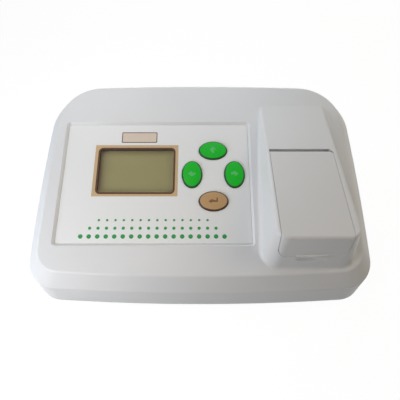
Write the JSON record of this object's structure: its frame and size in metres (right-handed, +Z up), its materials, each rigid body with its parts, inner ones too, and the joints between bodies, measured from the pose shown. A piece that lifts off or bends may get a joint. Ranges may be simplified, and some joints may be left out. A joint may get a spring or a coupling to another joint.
{
  "type": "benchtop phosphate analyzer",
  "caption": "White desktop photometer with a sloped control panel, a display, oval keys, and a hinged lid over a round sample well.",
  "frame": {"origin": "on the bench, under the middle of the case", "axes": "+X to the right, +Y to the back, +Z up; the operator is at -Y"},
  "size_m": [0.2648, 0.1778, 0.0811],
  "materials": {
    "white_abs": "fine satin",
    "grey_abs": "satin",
    "black_rubber": "matt",
    "zinc_steel": "satin",
    "panel_print": "printed polycarbonate",
    "clear_acrylic": "clear",
    "black_foam": "matt",
    "black_plastic": "satin",
    "green_board": "solder mask",
    "tin_plate": "satin",
    "display_glass": "clear",
    "milky_plastic": "satin",
    "lamp_resin": "clear resin",
    "clear_glass": "polished",
    "filter_glass": "polished",
    "black_aluminium": "anodised",
    "blue_sleeve": "sleeve",
    "cream_plastic": "satin",
    "grey_cable": "satin",
    "red_cable": "satin",
    "black_cable": "satin",
    "green_key": "gloss",
    "tan_key": "gloss"
  },
  "bodies": {
    "case": {"base_tray": "grey_abs", "board_connectors": "cream_plastic", "buzzer": "black_plastic", "capacitors": "blue_sleeve", "case_screws": "zinc_steel", "cell_holder": "black_plastic", "cell_holder_screws": "zinc_steel", "collar_seal": "black_foam", "collimating_lens": "clear_glass", "crystal": "tin_plate", "dc_jack": "black_plastic", "dc_jack_nut": "tin_plate", "dc_jack_pin": "tin_plate", "detector_board": "green_board", "detector_holder": "black_plastic", "detector_leads": "black_cable", "detector_screws": "zinc_steel", "display_board": "green_board", "display_ribbon": "grey_cable", "display_screws": "zinc_steel", "display_window": "clear_acrylic", "heatsink": "black_aluminium", "hinge_pins": "zinc_steel", "interference_filter": "filter_glass", "keypad_board": "green_board", "keypad_ribbon": "grey_cable", "keypad_screws": "zinc_steel", "lamp_board": "green_board", "lamp_holder": "black_plastic", "lamp_leads": "red_cable", "lamp_screws": "zinc_steel", "lcd_backlight": "milky_plastic", "lcd_frame": "tin_plate", "lcd_glass": "display_glass", "led_lamp": "lamp_resin", "main_board": "green_board", "main_board_screws": "zinc_steel", "microcontroller": "black_plastic", "panel_overlay": "panel_print", "photodiode": "tin_plate", "power_leads": "red_cable", "power_switch": "black_plastic", "rubber_feet": "black_rubber", "switch_bodies": "black_plastic", "switch_leads": "black_cable", "top_shell": "white_abs", "voltage_regulator": "black_plastic"},
    "lid": {"sample_lid": "white_abs"},
    "rocker": {"power_rocker": "black_plastic"},
    "key_up": {"key_up": "green_key", "plunger_up": "black_plastic"},
    "key_left": {"key_left": "green_key", "plunger_left": "black_plastic"},
    "key_right": {"key_right": "green_key", "plunger_right": "black_plastic"},
    "key_enter": {"key_enter": "tan_key", "plunger_enter": "black_plastic"}
  },
  "joints": [
    {"name": "lid_hinge", "type": "hinge", "parent": "case", "child": "lid", "pos_m": [0.079, 0.00715, 0.07391], "axis": [-1, 0, 0], "range_deg": [0, 100]},
    {"name": "power_rocker_tilt", "type": "hinge", "parent": "case", "child": "rocker", "pos_m": [-0.065, 0.08551, 0.035], "axis": [0, 0, 1], "range_deg": [0, 16]},
    {"name": "key_up_press", "type": "slide", "parent": "case", "child": "key_up", "axis": [0, 0.2588, -0.9659], "range_m": [0, 0.0008], "stiffness_N_per_m": 1500},
    {"name": "key_left_press", "type": "slide", "parent": "case", "child": "key_left", "axis": [0, 0.2588, -0.9659], "range_m": [0, 0.0008], "stiffness_N_per_m": 1500},
    {"name": "key_right_press", "type": "slide", "parent": "case", "child": "key_right", "axis": [0, 0.2588, -0.9659], "range_m": [0, 0.0008], "stiffness_N_per_m": 1500},
    {"name": "key_enter_press", "type": "slide", "parent": "case", "child": "key_enter", "axis": [0, 0.2588, -0.9659], "range_m": [0, 0.0008], "stiffness_N_per_m": 1500}
  ]
}
